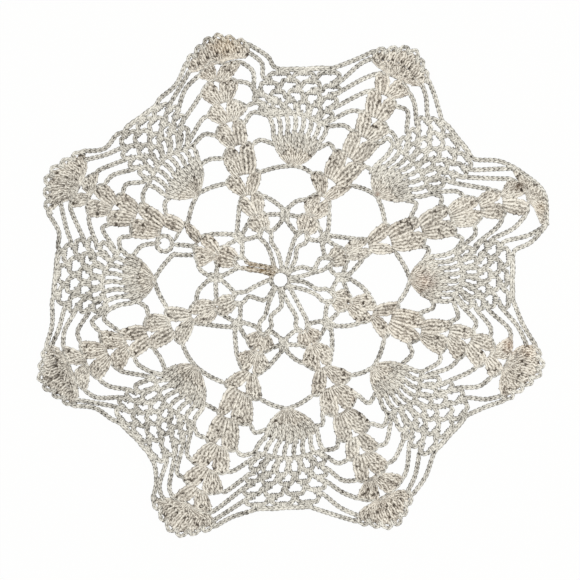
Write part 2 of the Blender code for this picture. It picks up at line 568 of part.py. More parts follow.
def build():
    for old in list(bpy.data.objects):
        bpy.data.objects.remove(old, do_unlink=True)
    lines = sheet_lines()
    middle = (lines[0].max(0)+lines[0].min(0))/2
    curve = bpy.data.curves.new("doily_outline", "CURVE")
    curve.dimensions = "2D"
    curve.fill_mode = "BOTH"
    curve.extrude = SHEET/2
    for line in lines:
        spline = curve.splines.new("POLY")
        spline.points.add(len(line)-1)
        flat = np.zeros((len(line), 4))
        flat[:, :2] = (line-middle)/1000
        flat[:, 3] = 1
        spline.points.foreach_set("co", flat.ravel())
        spline.use_cyclic_u = True
    outline = bpy.data.objects.new("outline", curve)
    collection = bpy.data.collections.new("crochet_doily")
    bpy.context.scene.collection.children.link(collection)
    collection.objects.link(outline)
    outline.location.z = SHEET/2
    bpy.context.view_layer.update()
    mesh = bpy.data.meshes.new_from_object(outline)
    mesh.name = "doily"
    soup = bmesh.new()
    soup.from_mesh(mesh)
    bmesh.ops.remove_doubles(soup, verts=soup.verts, dist=0.00001)
    soup.to_mesh(mesh)
    soup.free()
    doily = bpy.data.objects.new("doily", mesh)
    doily.matrix_world = outline.matrix_world
    mesh.materials.clear()
    mesh.materials.append(material())
    collection.objects.link(doily)
    bpy.data.objects.remove(outline, do_unlink=True)
    print("doily: points", sum(len(line) for line in lines), "gaps", len(lines)-1,
          "triangles", sum(len(p.vertices)-2 for p in mesh.polygons), "middle mm", middle)


build()
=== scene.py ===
"""Crochet doily in pineapple lace, laid flat on a white table: every stitch in cotton thread.

The lace is charted by bearing (degrees anticlockwise from +X) and radius (mm) about its ring,
a row for each stitch group. Functions turn the rows into chains, posts and bound stitches,
and these into tubes of thread, worked out as whole arrays.
"""
import math
from collections import namedtuple

import bpy
import numpy as np
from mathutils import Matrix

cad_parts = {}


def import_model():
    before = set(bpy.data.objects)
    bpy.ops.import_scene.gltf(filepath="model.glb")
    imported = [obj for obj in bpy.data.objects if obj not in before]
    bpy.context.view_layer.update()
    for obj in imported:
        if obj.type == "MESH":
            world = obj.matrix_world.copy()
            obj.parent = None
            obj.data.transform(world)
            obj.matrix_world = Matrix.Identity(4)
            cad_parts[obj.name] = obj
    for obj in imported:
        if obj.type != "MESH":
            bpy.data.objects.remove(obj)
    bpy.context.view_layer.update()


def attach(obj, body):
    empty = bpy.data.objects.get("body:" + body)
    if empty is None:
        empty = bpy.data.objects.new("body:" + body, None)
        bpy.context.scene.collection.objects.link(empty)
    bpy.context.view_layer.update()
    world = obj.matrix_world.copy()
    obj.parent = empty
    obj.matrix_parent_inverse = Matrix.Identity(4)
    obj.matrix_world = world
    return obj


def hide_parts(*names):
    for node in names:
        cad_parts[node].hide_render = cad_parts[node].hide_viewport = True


MIDDLE = (5.33, -2.28)   # middle of the lace's box, mm from the ring
COUNT = 8                # columns of shells, and panels between them
FAN_STRANDS = 13         # posts of a panel's fan
TIP_STRANDS = 22         # and of the last fan of a column
FINGERS = 8              # chains that stand on a panel's fan
SCALLOPS = 6             # on a column's tip
CHAIN_WIDTH = 2.55       # mm, as all sizes of the thread
CHAIN_PITCH = 2.0
THREAD = 0.54            # radius of a chain's leg
STRAND_PITCH = 1.0       # between the posts of a shell, at their tops
RING_STEP = 0.72         # between the rings of a post's tube
WAVE = 2.4               # length of a post's sideways waves
UNDERLAY = 0.34          # how far below the posts the strands lie that close their gaps
TURN_PITCH = 4           # between the turns of thread round a post
WRAPPED_LENGTH = 5       # mean length of the posts from which they have such turns
BOUND_STRANDS = 3        # of a short stitch bound round a chain
SHELL_LEAN = 52          # degrees from a shell's axis at which its outer post leaves the foot
FAN_LEAN = 64            # as for a fan
TIP_LEAN = 74            # as for the last round of a column
INNER_ARRIVAL = 56       # degrees from the axis at which a shell's inner posts end
OUTER_ARRIVAL = 22       # and its outer ones
START_PULL = 0.42        # share of a post's length from its foot to its curve's first handle
FAN_PULL = 0.35          # and from its top to the second one, in a fan
SHELL_PULL = 0.28        # and in a shell
SHELL_CROWN = 0.5        # how far the top of each half of a shell swells
EDGE_WIDTH = 1.9         # of the chain on that top
FINGER_WIDTH = 2.7
FINGER_PITCH = 2.3
ODD_COLUMN = 6           # lacks the left post groups of its fourth and fifth rounds
LOOP_WIDTH = 2.75        # chains of the loop rows
LOOP_PITCH = 2.2
LOOP_OVERLAP = 0.4       # of two neighbouring loops, from each one's chain
LOOP_PEAK = 2.5          # from a hole's middle to the top of its loop
LAST_PEAK = 1.6          # in the last row
LEVEL = 1.15             # height of the lace's middle layer
SIDES = 6                # corners of a thread's section
CORNER_ANGLES = 2*np.pi*(np.arange(SIDES)+0.5)/SIDES
LIDS = ((0, 1, 2, 3), (3, 4, 5, 0))   # four-cornered faces that close its end
RING_RADIUS = 3.9
CORNER_TURN = 8.8        # degrees from a column's second foot to the ends of the V under it
CORNER_DROP = 2.0        # and how much nearer to the ring they lie
ELBOW_TURN = 7.5         # degrees from that foot to the elbows of the long stitches
CHAIN_WARMTH = 0.1       # share of the warmer colour, as for the posts
POST_WARMTH = 0.6
PLIES = 3
PLY_PITCH = 1.1          # mm of thread from one ply to the next
BASE_TONE = 0.065        # share of the light colour before the stitches' own tone
PAINTED_LIGHT_DRIFT = 0.4         # painted light: how much lighter the lace gets a metre towards +X
CHAIN_MOTTLE = 0.95      # strength of the fine mottle at no warmth
POST_MOTTLE = 1.7        # and what full warmth adds to it
FUZZ_SCALE = 2600.0      # the noises, from the finest to the broadest
MOTTLE_SCALE = 1000.0
RAGGED_SCALE = 320.0
BROAD_SCALE = 90.0
PATCH_SCALE = 28.0
FRAME_MIDDLE = (4.03, -4.28)   # middle of the view, mm from the ring
FRAME_WIDTH = 0.2436     # metres, as the camera's height
CAMERA_HEIGHT = 1.8
SEED = 7

Spoke = namedtuple("Spoke", "foot bend top")
Inner = namedtuple("Inner", "foot2 left2 right2 foot3 left3 right3 foot4 left4 right4")
Shell = namedtuple("Shell", "foot left right")
Tip = namedtuple("Tip", "fan_top left top right")
Knot = namedtuple("Knot", "place bow_before bow_after")
Panel = namedtuple("Panel", "base fan_left fan_top fan_right finger_left finger_top finger_right")
Row = namedtuple("Row", "first middle last")
Stain = namedtuple("Stain", "place size tint")
Mend = namedtuple("Mend", "top middle foot")

SPOKES = (   # the long stitches about the ring, in pairs: left, then right
    (Spoke((66.5, 5.8), (70, 10.7), (71, 15.2)),
     Spoke((47, 5.4), (53.5, 10.6), (62.5, 15.2))),
    (Spoke((40, 6.0), (29.7, 10.7), (17.5, 14.6)),
     Spoke((10, 5.3), (10, 9.8), (12.5, 13.9))),
    (Spoke((-4, 5.2), (-5.6, 10.3), (-14.2, 15.8)),
     Spoke((-32, 5.4), (-22.2, 11), (-22.5, 16.3))),
    (Spoke((-43, 5.6), (-51.8, 10.9), (-55.5, 16.4)),
     Spoke((-80, 5.2), (-71.5, 10.4), (-67, 17))),
    (Spoke((-92, 5.1), (-88, 11.0), (-104.5, 15.8)),
     Spoke((-119.5, 5.5), (-116.6, 11), (-113, 16.3))),
    (Spoke((-127, 5.2), (-128, 10.8), (-152, 14.8)),
     Spoke((-178, 5.0), (-165.5, 11), (-161, 15.6))),
    (Spoke((138, 5), (155.5, 9), (161, 15)),
     Spoke((112, 5), (141, 9), (152.5, 15))),
    (Spoke((116, 5.8), (110.5, 11.7), (112, 16.4)),
     Spoke((84, 5.5), (95.6, 11.7), (103.5, 16.4))),
)
INNER = (    # shells of rounds 2 to 4 over each pair
    Inner((63, 22.8), (74, 27.5), (54, 27.5), (64.3, 30.2), (72.5, 35.3), (54.5, 35.3),
          (62.3, 39.8), (73.5, 46.7), (52.7, 49.8)),
    Inner((20.6, 23.2), (31, 27.5), (13.5, 28.5), (21.5, 30.2), (29, 35.5), (14.5, 36),
          (21.2, 40.5), (28.5, 50), (13.5, 49.7)),
    Inner((-19, 24.1), (-8.5, 28), (-28.5, 28), (-19.2, 31.4), (-9.5, 37.8),
          (-28.5, 38), (-20.1, 42), (-11, 50.5), (-29.5, 50.2)),
    Inner((-64.5, 24.1), (-53, 28.5), (-74, 28.5), (-64, 31), (-54, 36.8), (-74.5, 36.5),
          (-64, 41.6), (-53.5, 50), (-74.3, 50.3)),
    Inner((-108.3, 24.1), (-96, 28.5), (-120.5, 28.5), (-107.5, 32.2), (-98, 37),
          (-119.5, 37), (-108, 41.8), (-99.6, 50.8), (-118.5, 49.3)),
    Inner((-156, 22), (-147.5, 28), (-164, 28), (-157, 30), (-148.5, 36), (-166, 36.5),
          (-157.2, 41), (-146.5, 49.3), (-166, 49)),
    Inner((156.5, 21), (167.5, 27), (147.5, 27), (158.3, 29.3), (170, 35), (147.5, 35.5),
          (156, 38.5), (166, 46), (148, 45.7)),
    Inner((108.5, 22.6), (120.5, 27), (102, 28), (110, 29.8), (119, 35.5), (102, 36.3),
          (111, 38.8), (119.5, 46.5), (100.5, 46)),
)
KNOTS = (    # where the arcs of neighbouring columns meet, and how far the outer arcs bow
    Knot((86, 27.3), 0.6, 1.5),
    Knot((43.3, 25.3), 0.3, 0),
    Knot((2.5, 26), 0.3, 1.2),
    Knot((-42.5, 26.8), 1.0, 0.5),
    Knot((-87, 27), 1.0, 0),
    Knot((-134, 25.8), 0.2, 0.2),
    Knot((-182, 27), 2.0, 1.5),
    Knot((134, 24.5), 0.3, 0),
)
SHELLS = (   # rounds A to F of each column
    (Shell((62, 47.7), (67.3, 58.9), (53, 59.6)),
     Shell((60, 59.5), (64.6, 69.4), (53.7, 71)),
     Shell((59.4, 70), (64.5, 78.3), (54, 77.3)),
     Shell((59.7, 79.5), (64.8, 87.9), (56.4, 87.6)),
     Shell((60.5, 89.7), (64.9, 95.7), (55.5, 95.6)),
     Shell((60.9, 97.8), (67.3, 101), (54.3, 101.5))),
    (Shell((20, 50), (25.7, 60.6), (13, 61.3)),
     Shell((20, 63.7), (25.1, 74), (14.4, 75.8)),
     Shell((20.3, 76.6), (24.5, 84.7), (15.7, 84.6)),
     Shell((20, 90), (23.2, 96.3), (15.6, 97)),
     Shell((19.6, 99.8), (23.6, 105.9), (14.8, 106.7)),
     Shell((18.5, 109.5), (25.3, 109.5), (11.7, 114.2))),
    (Shell((-20, 50), (-13.5, 60), (-26.5, 60)),
     Shell((-20, 63.7), (-13.6, 73.7), (-24.9, 74)),
     Shell((-17.8, 75), (-14.4, 83.7), (-24.4, 81.8)),
     Shell((-18.2, 84.4), (-15.2, 91.4), (-24, 90.2)),
     Shell((-19.8, 93.9), (-14.3, 100), (-24.7, 97.6)),
     Shell((-20.4, 101.2), (-15, 107.2), (-27.4, 105.4))),
    (Shell((-65, 50.5), (-56.2, 57.7), (-72.4, 58)),
     Shell((-65, 62), (-57.9, 71), (-70.1, 71.2)),
     Shell((-64.3, 73.8), (-59.5, 80.9), (-69.5, 80.7)),
     Shell((-64.8, 81.6), (-59.7, 89.3), (-69, 90.2)),
     Shell((-65, 92), (-58.2, 98), (-70.3, 97.7)),
     Shell((-64.5, 101), (-59.2, 103.9), (-71.5, 104.7))),
    (Shell((-109.6, 50.3), (-101.6, 62), (-115.8, 61)),
     Shell((-111.1, 62.8), (-104.4, 74), (-115.2, 73.3)),
     Shell((-110.5, 75), (-105.4, 83.8), (-116.3, 84.6)),
     Shell((-110.7, 85.5), (-105.5, 92.3), (-116.3, 92.5)),
     Shell((-111.4, 94.9), (-106.7, 102.2), (-116.2, 102)),
     Shell((-112, 102), (-105.7, 105.2), (-117.9, 104.8))),
    (Shell((-157, 50.5), (-151.3, 60.6), (-165.1, 57.5)),
     Shell((-157.5, 61.2), (-152, 69.5), (-162.5, 71.3)),
     Shell((-157.4, 70.4), (-150.5, 77.7), (-164, 79)),
     Shell((-157, 79.4), (-151.2, 87), (-162.6, 88)),
     Shell((-156.8, 89), (-150.6, 94.5), (-162.8, 95.5)),
     Shell((-157, 95.8), (-149.7, 99.8), (-163.8, 100.2))),
    (Shell((154.5, 47), (163, 53), (150, 55.5)),
     Shell((156.7, 55), (163.7, 65), (150.5, 66.1)),
     Shell((156, 67), (162.1, 75.5), (151.1, 75.6)),
     Shell((156.5, 77.5), (161.5, 84.9), (151.4, 84)),
     Shell((156, 87.5), (160.7, 93.8), (149.8, 89.5)),
     Shell((155.8, 93.3), (160.3, 98.2), (148.6, 96.4))),
    (Shell((109.1, 47.5), (115.3, 56.3), (101.7, 57.9)),
     Shell((107.8, 60), (114.2, 66.3), (103.1, 67.3)),
     Shell((108, 70.4), (113.9, 75.3), (101, 74.3)),
     Shell((107.9, 78.8), (113.2, 84.7), (102.2, 85.4)),
     Shell((107.9, 88.3), (111.7, 92.4), (100.3, 93.1)),
     Shell((106, 94.8), (113.2, 96), (97.9, 96.5))),
)
TIPS = (     # top radius of each column's last fan, and the rim of scallops over it
    Tip(104.5, (67.6, 104), (60, 111), (53.6, 104.5)),
    Tip(116.4, None, None, None),
    Tip(109, (-14.6, 111), (-19.5, 115.5), (-28.2, 107)),
    Tip(106.5, (-58.5, 106), (-65, 113.3), (-72.3, 106.6)),
    Tip(107.5, (-105.1, 107.6), (-112.5, 114.8), (-120.2, 106.8)),
    Tip(101.5, (-148.9, 102.2), (-157, 108.8), (-163.9, 102.5)),
    Tip(99.5, (163.8, 101.8), (155.5, 106.5), (147.1, 99.3)),
    Tip(98.7, (113.4, 99.4), (105.5, 105.5), (98, 100.2)),
)
LINKS = (    # middles of the side chains of rounds A to G: left side, then right
    (((70.3, 60.7), (67.8, 70), (67.8, 76.4), (67.8, 83), (68, 90.5), (69.8, 96.3), (70.8, 98.2)),
     (None, (52.8, 74.7), (52.6, 77.5), (52.9, 88.5), (52.5, 92.6), (51.4, 98), (50.2, 101))),
    (((29.3, 65.4), (27.1, 76), (26.8, 82.5), (25.6, 90.5), (25.6, 98.5), (27, 102.5), (28.6, 104.2)),
     ((11.8, 63.8), (12.5, 78.3), (13, 83.8), (13.6, 93.5), (12.4, 100), (10.2, 106), (8.6, 106.5))),
    (((-10.3, 65.2), (-11.7, 76.2), (-12, 83.8), (-12.6, 90.2), (-11.9, 97.7), (-11.2, 101.6),
      (-10.6, 103.7)),
     ((-29.3, 63.4), (-27.5, 75), (-27.9, 79.5), (-26.7, 87.5), (-28.3, 94.4), (-30.2, 99.7),
      (-31.5, 101.7))),
    (((-54.5, 63.6), (-54.8, 75), (-56.8, 81.3), (-57.1, 88.9), (-55.7, 94.6), (-55.3, 99.5),
      (-53.8, 102.8)),
     ((-73.6, 63), (-71.6, 74.3), (-72.7, 80.6), (-72.8, 88), (-73.8, 92.8), (-75.3, 98.8),
      (-76.8, 101.5))),
    (((-99.5, 65), (-102.3, 75.4), (-103.3, 82), (-104.2, 91.4), (-104.7, 98.1), (-103.1, 100.2),
      (-101.6, 101.7)),
     ((-120.1, 60.9), (-118.2, 73.6), (-118.6, 82.1), (-118.5, 91.1), (-118.4, 97.9), (-120.5, 100),
      (-121.4, 99.9))),
    (((-147, 60.1), (-149, 69.4), (-148, 74.1), (-147.9, 84.3), (-147.2, 91.3), (-146.4, 93.3),
      (-145.4, 94.7)),
     ((-168.4, 57.5), (-167.3, 75.8), (-167.5, 81), (-165.9, 87.7), (-166.8, 93), (-167.3, 95.4),
      (-168.9, 97.6))),
    (((166.2, 59.8), (165.5, 69.6), (164, 77.8), (164, 83.2), (163.7, 89.9), (166, 92.8),
      (167.7, 95.2)),
     ((146.5, 58.2), (147.8, 68.1), (148.1, 76), (147.9, 82.8), (148, 88.1), (144.6, 90.4),
      (143.4, 92.2))),
    (((120, 58.5), (117.7, 68.9), (116.5, 74.6), (116.2, 81.8), (116.6, 89.3), (116.8, 91.8),
      (118, 93)),
     ((98.1, 59.3), (99.3, 71.2), (97.6, 75), (98.7, 82.7), (97.5, 88.1), (94.9, 91.3), (93.4, 94.1))),
)
PANELS = (   # pineapple between two columns: its fan and its fingers
    Panel((83.5, 48.3), (92.7, 57), 60, (74, 57.3), (94, 69), 70, (73, 67.3)),
    Panel((41.3, 53.7), (50, 60), 65.5, (32.3, 62.4), (50, 74), 74.5, (29.8, 73)),
    Panel((0, 54.6), (8.7, 61.7), 68, (-7.6, 64), (9.5, 74.4), 76.5, (-6.7, 72.9)),
    Panel((-43, 53.6), (-34.5, 62.2), 65.5, (-50.1, 62.2), (-33, 71), 75.5, (-51.3, 72.3)),
    Panel((-87, 54.3), (-76.3, 63.1), 66, (-95.4, 63.2), (-75.9, 73.8), 75, (-98.5, 73.4)),
    Panel((-133.8, 50.9), (-121.3, 61.1), 62, (-141.8, 61.4), (-121.2, 70.7), 71, (-144.1, 66.5)),
    Panel((-180, 53.1), (-171.2, 60.4), 64.5, (-189.3, 62.6), (-169.9, 73.8), 74.5, (-190.7, 68.4)),
    Panel((133.9, 50.1), (143.7, 57.9), 60.5, (124.2, 58.9), (144.3, 68.5), 70.5, (123.3, 67.2)),
)
MESH = (     # holes of the loop rows above each panel: first, middle radius, last
    (Row((95, 70.5), 73, (74.2, 71)),
     Row((96, 75.5), 77.3, (74.7, 77)),
     Row((93.2, 80.5), 81.7, (75, 81.7)),
     Row((90.3, 84.3), 84.9, (76.7, 87)),
     Row((86.5, 87), 87.6, (79.6, 88.7))),
    (Row((48, 77), 78.7, (31.5, 77.5)),
     Row((47.3, 82), 83, (31.5, 82)),
     Row((47, 88), 87.3, (31.5, 87.5)),
     Row((44.5, 91), 91, (33, 91)),
     Row((41.5, 93.8), 93.8, (35.8, 93.8))),
    (Row((8.6, 78.7), 81.3, (-7, 78.4)),
     Row((9.2, 85.3), 85.7, (-6.7, 83.4)),
     Row((8.1, 90.1), 89.6, (-5.4, 88.1)),
     Row((5.8, 93.9), 92.6, (-4.9, 93.7)),
     Row((2.5, 96.1), 96, (-3, 96))),
    (Row((-33.2, 76.9), 79.8, (-50, 79)),
     Row((-32.9, 82.3), 84.2, (-50.2, 82.6)),
     Row((-33.7, 87.9), 88.3, (-49.3, 87.6)),
     Row((-36.2, 92.5), 92.5, (-48.1, 92.7)),
     Row((-39.5, 95), 95, (-45, 95))),
    (Row((-77.8, 76.7), 79.4, (-97.5, 77.9)),
     Row((-78.7, 81.9), 83.3, (-97.9, 83)),
     Row((-80.2, 86.8), 88, (-97.4, 88.4)),
     Row((-82.9, 91.6), 91.7, (-96, 92.5)),
     Row((-85, 94.2), 94.2, (-91.5, 94.4))),
    (Row((-122.8, 73.6), 74.4, (-142.3, 73.6)),
     Row((-123.5, 78.2), 78.6, (-141.9, 78.2)),
     Row((-123.9, 84.1), 82.6, (-140.9, 82.5)),
     Row((-125.7, 88.5), 86.2, (-138.8, 86.3)),
     Row((-128.5, 89.3), 88.6, (-136, 88.4))),
    (Row((-171.7, 77), 77.8, (-190.3, 74.5)),
     Row((-172.6, 82.4), 82, (-190.5, 79.7)),
     Row((-173.5, 86.7), 86.7, (-189.1, 84.6)),
     Row((-176.1, 90.7), 90.8, (-187.1, 88.9)),
     Row((-178.2, 93.4), 93.2, (-184.9, 92.6))),
    (Row((141.5, 72.4), 74.9, (123.2, 73.2)),
     Row((140.9, 77.6), 78.5, (122.7, 78.3)),
     Row((139.6, 82.3), 83, (123.2, 82.5)),
     Row((136.9, 86.3), 85.6, (125.2, 85.8)),
     Row((133.6, 89), 88.6, (127.7, 88.2))),
)
MENDS = (    # single chains in place of the odd column's fourth post group
    Mend((166.7, 46.6), (165.8, 42.5), (164.3, 38.6)),
    Mend((161.5, 46.6), (159.9, 42), (158.3, 37.3)),
)
MEND_RING = ((162.7, 51), 3.3)   # and the middle and radius of the ring in place of the fifth
DOUBLING = Mend((163.5, 14.8), (156.7, 9.4), (149.5, 4.6))   # second chain beside the stained spoke
STAINS = (   # place, radius in mm and tint of each
    Stain((156, 13), 5.6, (0.55, 0.42, 0.27, 1)),
    Stain((149, 8.5), 5.8, (0.48, 0.36, 0.21, 1)),
    Stain((128, 4.6), 3.6, (0.46, 0.36, 0.24, 1)),
    Stain((21.3, 107.4), 5.0, (0.22, 0.15, 0.09, 1)),
    Stain((15.4, 113.5), 3.6, (0.90, 0.82, 0.72, 1)),
    Stain((-15.6, 100.4), 5.0, (0.78, 0.64, 0.55, 1)),
    Stain((-16.2, 108.4), 4.5, (1.0, 0.92, 0.85, 1)),
    Stain((41.6, 54.3), 1.6, (0.40, 0.22, 0.15, 1)),
    Stain((103, 102), 9.0, (0.97, 0.88, 0.76, 1)),
    Stain((0, 61.5), 6.0, (0.92, 0.83, 0.80, 1)),
    Stain((-58.6, 58.6), 2.2, (0.55, 0.47, 0.42, 1)),
)


def at(place):
    """Bearing and radius to x, y."""
    angle = math.radians(place[0])
    return np.array([place[1]*math.cos(angle), place[1]*math.sin(angle)])


def unit(v):
    """The vector at length 1."""
    return v/np.linalg.norm(v)


def units(vectors):
    """Each row of an array at length 1: of points, the way outwards from the ring."""
    return vectors/np.linalg.norm(vectors, axis=1)[:, None]


def left_of(v):
    """The vector after a quarter turn to the left."""
    return np.array([-v[1], v[0]])


def cubic(a, b, c, d, t):
    """Bezier curve from a to d, drawn towards b and c: the Bernstein sum at t."""
    return (1-t)**3*a+3*(1-t)**2*t*b+3*(1-t)*t*t*c+t**3*d


def bend(points, step=0.8):
    """Smooth curve through the points: Catmull-Rom, with a point about every step mm."""
    p = np.array(points, float)
    q = np.vstack([2*p[0]-p[1], p, 2*p[-1]-p[-2]])
    pieces = []
    for a, b, c, d in zip(q[:-3], q[1:-2], q[2:-1], q[3:]):
        n = max(2, int(np.linalg.norm(c-b)/step)+1)
        t = np.linspace(0, 1, n)[1 if pieces else 0:, None]
        pieces.append(0.5*(2*b + (c-a)*t + (2*a-5*b+4*c-d)*t**2 + (3*b-a-3*c+d)*t**3))
    return np.vstack(pieces)


def run_of(line):
    """Length of the line up to each of its points."""
    return np.concatenate([[0], np.cumsum(np.linalg.norm(np.diff(line, axis=0), axis=1))])


def along(line, shares):
    """Points at shares 0 to 1 of a line's length."""
    run = run_of(line)
    s = np.asarray(shares)*run[-1]
    return np.stack([np.interp(s, run, line[:, k]) for k in (0, 1)], 1)


def arch(left, top_radius, right):
    """Arc from left to right through their middle bearing at top_radius."""
    return bend([at(left), at(((left[0]+right[0])/2, top_radius)), at(right)], 0.5)


def bowed(a, b, bow):
    """Curve from a to b whose middle lies bow mm further out."""
    m = (a+b)/2
    return bend([a, m+unit(m)*bow, b])


def circle(radius):
    """Closed line about the ring's middle."""
    turn = np.linspace(0, 2*math.pi, 60)
    return radius*np.stack([np.cos(turn), np.sin(turn)], 1)


def tubes(path, radius):
    """Rings of points about each path: path + radius * (cos a * side + sin a * up).

    Side is level, up is at right angles to it and to the path, and a is a corner's angle. A
    tube wider than THREAD is no higher than that.
    """
    tangent = np.gradient(path, axis=1)
    tangent /= np.maximum(np.linalg.norm(tangent, axis=2), 1e-9)[..., None]
    side = np.stack([-tangent[..., 1], tangent[..., 0], 0*tangent[..., 0]], -1)
    side /= np.maximum(np.linalg.norm(side, axis=2), 1e-9)[..., None]
    up = np.cross(tangent, side)
    wide, high = radius[..., None, None], np.minimum(radius, THREAD)[..., None, None]
    ring = path[:, :, None]+wide*np.cos(CORNER_ANGLES)[:, None]*side[:, :, None]
    return ring+high*np.sin(CORNER_ANGLES)[:, None]*up[:, :, None]


class Thread:
    """Collects tubes of thread for one piece: paths (tubes, rings, 3) and radii, in mm."""

    def __init__(self, name, rng):
        self.name = name
        self.rng = rng
        self.batches = []

    def lay(self, line, s, y, z, radius, shade=0.0, warmth=CHAIN_WARMTH):
        """Adds tubes that follow a line: s along it, y to its left, z above the table.

        A point is line(s) + y times the line's left normal; s past an end runs straight on.
        Shade is painted light or shade along the thread's way, and each tube's ends are painted
        darker, as shade where they tuck under, by a power of a sine.
        """
        run = run_of(line)
        tangent = np.gradient(line, axis=0)
        tangent /= np.maximum(np.linalg.norm(tangent, axis=1), 1e-9)[:, None]
        clipped = np.clip(s, 0, run[-1])
        tx, ty = (np.interp(clipped, run, tangent[:, k]) for k in (0, 1))
        px, py = (np.interp(clipped, run, line[:, k]) for k in (0, 1))
        over = s-clipped
        path = np.stack([px+over*tx-y*ty, py+over*ty+y*tx, z+0*px], -1)
        # painted shade: each tube darker towards its ends, on top of a random tone for each tube
        ends = np.sin(np.pi*np.linspace(0, 1, px.shape[1]))**0.6
        tone_and_shading = self.rng.normal(0, 0.1, (len(path), 1))+shade+0.5*(ends-1)-0.02
        self.batches.append((path, radius+0*px, tone_and_shading, warmth))

    def chain(self, line, width=CHAIN_WIDTH, pitch=CHAIN_PITCH, level=LEVEL, warmth=CHAIN_WARMTH):
        """Crochet chain: a row of V's, each of two plump legs over a loop at the back.

        A leg runs from the middle outwards while it rises and sinks as half a sine, and its
        radius swells as the root of that sine, so it looks like a slanted grain.
        """
        length = run_of(line)[-1]
        count = max(1, int(round(length/pitch)))
        step = length/count
        centre = (np.arange(count)[:, None]+0.5)*step
        u = np.linspace(0, 1, 5)[None]
        rise = np.sin(np.pi*u)
        ease = u*u*(3-2*u)
        wobble = self.rng.normal(0, 0.05, (count, 1))
        thick = THREAD*width/CHAIN_WIDTH
        for hand in (1, -1):
            s = centre+step*(1.5*u-0.85)+step*wobble
            y = hand*width*(0.03+0.25*ease)
            z = level-0.12+0.42*rise+0.08*hand
            self.lay(line, s, y+0*s, z+0*s, thick*(0.5+0.5*np.sqrt(rise)), warmth=warmth)
        # the loop at the back lies lower and is painted darker, as shade under the legs
        v = np.linspace(0, 1, 3)[None]
        back = np.sin(np.pi*v)
        s = centre+step*(1.3*v-0.65)
        self.lay(line, s, 0.12*width*np.cos(np.pi*v)+0*s, level-0.45-0.1*back+0*s,
                 thick*(0.5+0.35*back), -0.15, warmth)

    def web(self, feet, tops, leave, arrive, pit_shade=0.0, sunk=0.0):
        """Tall stitches side by side: strands from feet to tops, as wide as their spacing.

        Strand k is a cubic that leaves its foot along leave[k] and ends along arrive[k], both
        given as shares of its length. Its foot lies over the chain that carries it, straight and
        pinched, and further out it waves to the side as a sine of about WAVE mm, in its own
        beat, with painted shade as dark dots here and there where the thread dives. Its foot is
        painted darker as shade, by the given amount for strand k more at the dark pits, and it is
        painted a little darker towards its top; sunk lowers its outer half. Smooth strands below,
        painted a little darker as shade, close the gaps between them.
        """
        # the cubics, with the way across each and the spacing at its rings
        length = np.linalg.norm(tops-feet, axis=1)[:, None]
        a, d = feet[:, None], tops[:, None]
        b, c = a+(leave*length)[:, None], d-(arrive*length)[:, None]
        rings = max(7, int(length.mean()/RING_STEP))
        t = np.linspace(0, 1, rings)[None, :, None]
        path = cubic(a, b, c, d, t)
        tangent = np.gradient(path, axis=1)
        step = np.linalg.norm(tangent, axis=2)
        across = np.stack([-tangent[..., 1], tangent[..., 0]], -1)/np.maximum(step, 1e-9)[..., None]
        run = np.cumsum(step, axis=1)
        spacing = np.linalg.norm(np.gradient(path, axis=0), axis=2)
        # the beat of each wave, and how far it swings
        turn = 2*np.pi*run/WAVE*(1+self.rng.normal(0, 0.15, (len(path), 1)))
        turn += self.rng.normal(0, 1.5, (len(path), 1))
        t = t[..., 0]
        grown = np.minimum(t*2.2, 1)**2
        swell = 0.4*np.minimum(spacing, 1.1)*grown
        swell[[0, -1]] *= 0.4
        # the smooth strands below, midway between those above; painted shade darkens every strand
        # towards its foot, more at the dark pits, and the strands below a little more
        shade = -0.25*(1-t)**6-np.reshape(pit_shade, (-1, 1))*(1-t)**4+0*spacing
        low = np.concatenate([path, LEVEL-UNDERLAY+0*path[..., :1]], -1)[:, ::2]
        low, wide = (low[1:]+low[:-1])/2, np.clip(0.5*spacing, 0.3, 0.7)[1:, ::2]
        self.batches.append((low, wide, shade[1:, ::2]-0.12, POST_WARMTH))
        # the strands above
        path = path+across*(swell*np.sin(turn))[..., None]
        z = LEVEL+(0.26*np.cos(turn)-sunk)*grown+0.4*(1-t)**4+self.rng.normal(0, 0.1, (len(path), 1))
        radius = np.clip(0.5*spacing, 0.26, 0.72)
        # painted shade: dark dots where the thread dives, and darker towards the top
        shade_dots = np.maximum(np.sin(turn+1), 0)**8
        shade_dots *= np.maximum(0.5+np.sin(0.43*turn+self.rng.uniform(0, 6.3, (len(path), 1))), 0)
        shade = shade+0.18-0.9*shade_dots*grown-0.15*np.maximum(t*4-3, 0)**4
        shade = shade+self.rng.normal(0, 0.08, (len(path), 1))
        self.batches.append((np.concatenate([path, z[..., None]], -1), radius, shade, POST_WARMTH))
        if length.mean() > WRAPPED_LENGTH:
            self.wrap(path, tangent/np.maximum(step, 1e-9)[..., None], across, spacing, z)

    def wrap(self, path, ahead, across, spacing, z):
        """Slanted turns of thread over the outer part of each strand of a web, at odd places.

        A turn runs from one side of its strand to the other while it goes 0.9 mm ahead, and its
        height and radius fall off to both sides with the square of w, which runs from -1 to 1. Its
        colour is painted darker the same way, as shade where it tucks under.
        """
        strands, rings = path.shape[:2]
        turns = max(2, int(rings*RING_STEP/TURN_PITCH))
        strand = np.tile(np.arange(strands), turns)
        place = np.repeat(np.arange(turns), strands)+self.rng.uniform(0, 1, strands*turns)
        here = strand, ((0.38+0.58*place/turns)*(rings-1)).astype(int)
        w = np.array([[-1.0, 0.0, 1.0]])
        slant = 0.5*np.clip(spacing[here], 0.5, 1.4)[:, None]*across[here]+0.45*ahead[here]
        turn = path[here][:, None]+w[..., None]*slant[:, None]
        height = z[here][:, None]+0.34-0.4*w*w
        # painted shade: each turn darker towards its ends, where it tucks under
        shade = self.rng.normal(0.1, 0.14, (len(turn), 1))-0.4*w*w
        self.batches.append((np.concatenate([turn, height[..., None]], -1),
                             0.36-0.12*w*w+0*height, shade, POST_WARMTH))

